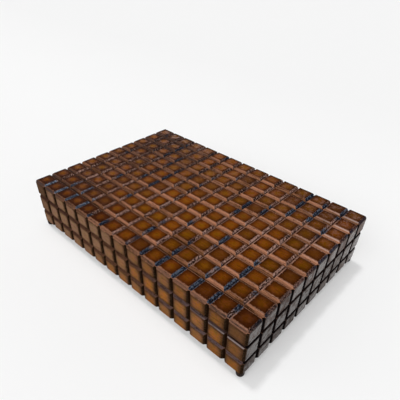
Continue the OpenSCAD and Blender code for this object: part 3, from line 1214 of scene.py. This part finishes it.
@dataclass
class Base:
    """The bottom panel, its screws and the four peg feet, with sizes in millimetres."""
    grid: Grid
    radius: float = 4.75
    rounding: float = 3.2
    # the easing at the top of a foot: how far in from its side and down from its top
    shoulder: Sequence[Tuple[float, float]] = ((0.0, 0.4), (0.12, 0.1), (0.3, 0.0))
    spigot: float = 2.0
    spigot_h: float = 9.0
    steps: int = 56
    arc: int = 10
    easing: float = 0.4

    def peg(self, node: str, finish: bpy.types.Material) -> bpy.types.Object:
        """Turns one foot about its own axis.

        Args:
            node: the CAD node.
            finish: its material.

        Returns:
            The piece.
        """
        low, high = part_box(node)
        axis = (low + high) / 2
        flat = self.radius - self.rounding
        outline = [(0.0, 0.0), (flat, 0.0)]
        for k in range(1, self.arc + 1):
            turn = math.pi / 2 * k / self.arc
            outline.append((flat + self.rounding * math.sin(turn), self.rounding * (1 - math.cos(turn))))
        top, tip = self.grid.foot_h, self.grid.foot_h + self.spigot_h
        outline += [(self.radius - inward, top - down) for inward, down in self.shoulder]
        outline += [(self.spigot, top), (self.spigot, tip), (0.0, tip)]
        mesh = bmesh.new()
        points = [mesh.verts.new((axis.x + r * MM, axis.y, z * MM)) for r, z in outline]
        edges = [mesh.edges.new(pair) for pair in zip(points, points[1:])]
        bmesh.ops.spin(mesh, geom=points + edges, cent=(axis.x, axis.y, 0), axis=(0, 0, 1),
                       angle=math.tau, steps=self.steps, use_merge=True)
        bmesh.ops.remove_doubles(mesh, verts=mesh.verts[:], dist=MERGE_WITHIN)
        bmesh.ops.recalc_face_normals(mesh, faces=mesh.faces[:])
        sort_by_place(mesh)
        smooth_by_angle(mesh, degrees=38)
        return Piece(f"{node}_peg", "box", "foot_wood", node).place(mesh, finish)

    def build(self) -> List[bpy.types.Object]:
        """Makes the feet, the bottom panel and its screws.

        Returns:
            The pieces.
        """
        ebony = EbonisedPeg().make()
        made = [self.peg(f"foot_{end}_{side}", ebony)
                for end in ("front", "back") for side in ("left", "right")]
        panel = merged_copy("bottom_panel")
        round_edges(panel, self.easing, segments=2)
        stained = BoardWood("stained_board", (0.150, 0.070, 0.032), (0.075, 0.034, 0.016), 0.45).make()
        made.append(Piece("bottom_panel_board", "box", "plain_wood", "bottom_panel").place(panel, stained))
        made.append(metal_piece("bottom_screws", "box", "screw_brass", AgedBrass("screw_brass").make()))
        return made


@dataclass
class Hinges:
    """Two brass butt hinges and their screws."""
    sides: Sequence[str] = ("left", "right")

    def build(self) -> List[bpy.types.Object]:
        """Makes the leaves, the pins and the screws.

        Returns:
            The pieces.
        """
        brass = AgedBrass("hinge_brass").make()
        screws = AgedBrass("hinge_screw_brass", (0.70, 0.52, 0.24), (0.34, 0.24, 0.12)).make()
        made = []
        for side in self.sides:
            made.append(metal_piece(f"hinge_body_leaf_{side}", "box", "hinge_brass", brass))
            made.append(metal_piece(f"hinge_lid_leaf_{side}", "lid", "hinge_brass", brass))
            made.append(metal_piece(f"hinge_pin_{side}", "box", "hinge_brass", brass))
        made.append(metal_piece("body_hinge_screws", "box", "screw_brass", screws))
        made.append(metal_piece("lid_hinge_screws", "lid", "screw_brass", screws))
        return made


# ---------------------------------------------------------------- studio

@dataclass
class Lamp:
    """A soft distant lamp: the way towards it, its strength, width in degrees and colour."""
    name: str
    towards: Tuple[float, float, float]
    strength: float
    width: float
    colour: Colour = (1.0, 1.0, 1.0)

    def build(self) -> bpy.types.Object:
        """Makes the lamp.

        Returns:
            The lamp.
        """
        data = bpy.data.lights.new(self.name, "SUN")
        data.energy = self.strength
        data.angle = math.radians(self.width)
        data.color = self.colour
        made = add_object(self.name, data)
        made.rotation_euler = Vector(self.towards).to_track_quat("Z", "Y").to_euler()
        return made


@dataclass
class Studio:
    """Pale floor, plain soft lamps and the camera; angles in degrees and lengths in metres."""
    azimuth: float = 41.73
    elevation: float = 39.75
    roll: float = 1.76
    distance: float = 0.4894
    aim: Tuple[float, float, float] = (0.0439, -0.0324, 0.0471)
    lens: float = 33.95        # in mm, for a sensor 36 mm wide
    rise: float = 0.0999       # upward shift of the lens, in picture widths
    floor_half: float = 12.0
    floor_white: float = 0.94
    floor_far: float = 0.89
    floor_own: float = 0.27    # share of the floor's light that is its own
    # level of the surroundings by height: 0 is the horizon and 1 straight up
    sky: Sequence[Tuple[float, float]] = ((0.0, 0.86), (0.36, 0.60), (0.62, 0.06))
    lamps: Sequence[Lamp] = (
        Lamp("key", (-0.24, 0.01, 0.97), 0.95, 6.0),
        Lamp("front", (0.12, -0.74, 0.66), 1.34, 40.0),
        Lamp("overhead", (0.05, 0.02, 1.0), 0.66, 30.0),
        Lamp("softbox", (-0.50, -0.66, 0.56), 0.30, 40.0),
    )

    def camera(self) -> bpy.types.Object:
        """Makes the camera.

        Returns:
            The camera.
        """
        a, e, r = (math.radians(v) for v in (self.azimuth, self.elevation, self.roll))
        back = Vector((math.sin(a) * math.cos(e), -math.cos(a) * math.cos(e), math.sin(e)))
        right = Vector((0, 0, 1)).cross(back).normalized()
        up = back.cross(right)
        turned_right = math.cos(r) * right + math.sin(r) * up
        turned_up = math.cos(r) * up - math.sin(r) * right
        data = bpy.data.cameras.new("camera")
        data.sensor_width = 36.0
        data.lens = self.lens
        data.shift_y = self.rise
        data.clip_start, data.clip_end = 0.01, 100.0
        made = add_object("camera", data)
        turn = Matrix((turned_right, turned_up, back)).transposed()
        made.matrix_world = Matrix.Translation(Vector(self.aim) + back * self.distance) @ turn.to_4x4()
        bpy.context.scene.camera = made
        return made

    def floor(self) -> bpy.types.Object:
        """Makes the floor.

        Returns:
            The floor.
        """
        mesh = bmesh.new()
        bmesh.ops.create_grid(mesh, x_segments=2, y_segments=2, size=self.floor_half)
        data = bpy.data.meshes.new("floor")
        mesh.to_mesh(data)
        mesh.free()
        made = add_object("floor", data)
        g = MaterialGraph("floor_paper", {"Specular IOR Level": 0.0, "Roughness": 0.9})
        place = g.place()
        # a little cloudy, and greyer from 100 to 900 mm behind the middle of the box
        cloud = g.noise(place, (0.004,) * 3, 2.0) * 0.2
        far = g.smooth(g.split(place)[1], 100.0, 900.0)
        colour = g.mix(g.least(1.0, cloud + far), (self.floor_white,) * 3, (self.floor_far,) * 3)
        # part of the floor's white is its own, for what looks at it, so that its shadow stays light
        straight, glossy, through = (g.node("ShaderNodeLightPath", out=ray) for ray in (
            "Is Camera Ray", "Is Glossy Ray", "Is Transmission Ray"))
        own = g.least(1.0, straight + glossy + through) * self.floor_own
        glow = g.node("ShaderNodeEmission", None, {"Color": (self.floor_far,) * 3, "Strength": 1.0})
        g.show(g.node("ShaderNodeMixShader", None, {0: own, 1: g.shader, 2: glow}))
        data.materials.append(g.finish({"Base Color": colour}))
        return made

    def world(self) -> None:
        """Makes the surroundings: pale at the horizon and dimmer overhead."""
        world = bpy.data.worlds.new("surroundings")
        bpy.context.scene.world = world
        world.use_nodes = True
        g = Graph(world.node_tree, "ShaderNodeOutputWorld")
        height = g.split(g.node("ShaderNodeTexCoord", out="Generated"))[2]
        stops = [(place, (level,) * 3) for place, level in self.sky]
        level = g.node("ShaderNodeValToRGB", {"stops": stops}, {0: height})
        g.show(g.node("ShaderNodeBackground", None, {"Color": level}))

    def build(self) -> None:
        """Makes the camera, the floor, the surroundings and the lamps."""
        self.camera()
        self.floor()
        self.world()
        for lamp in self.lamps:
            lamp.build()
        bpy.context.scene.view_settings.view_transform = "Standard"


def main() -> None:
    """Builds the sub-assemblies in order and notes their sizes."""
    logging.basicConfig(level=logging.INFO, format="%(name)s: %(message)s")
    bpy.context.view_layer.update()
    grid = Grid()
    Studio().build()
    for assembly in (BlockWork(grid), Linings(), Base(grid), Hinges()):
        made = assembly.build()
        LOG.info("%s: %d pieces", type(assembly).__name__, len(made))


if __name__ == "__main__":
    main()
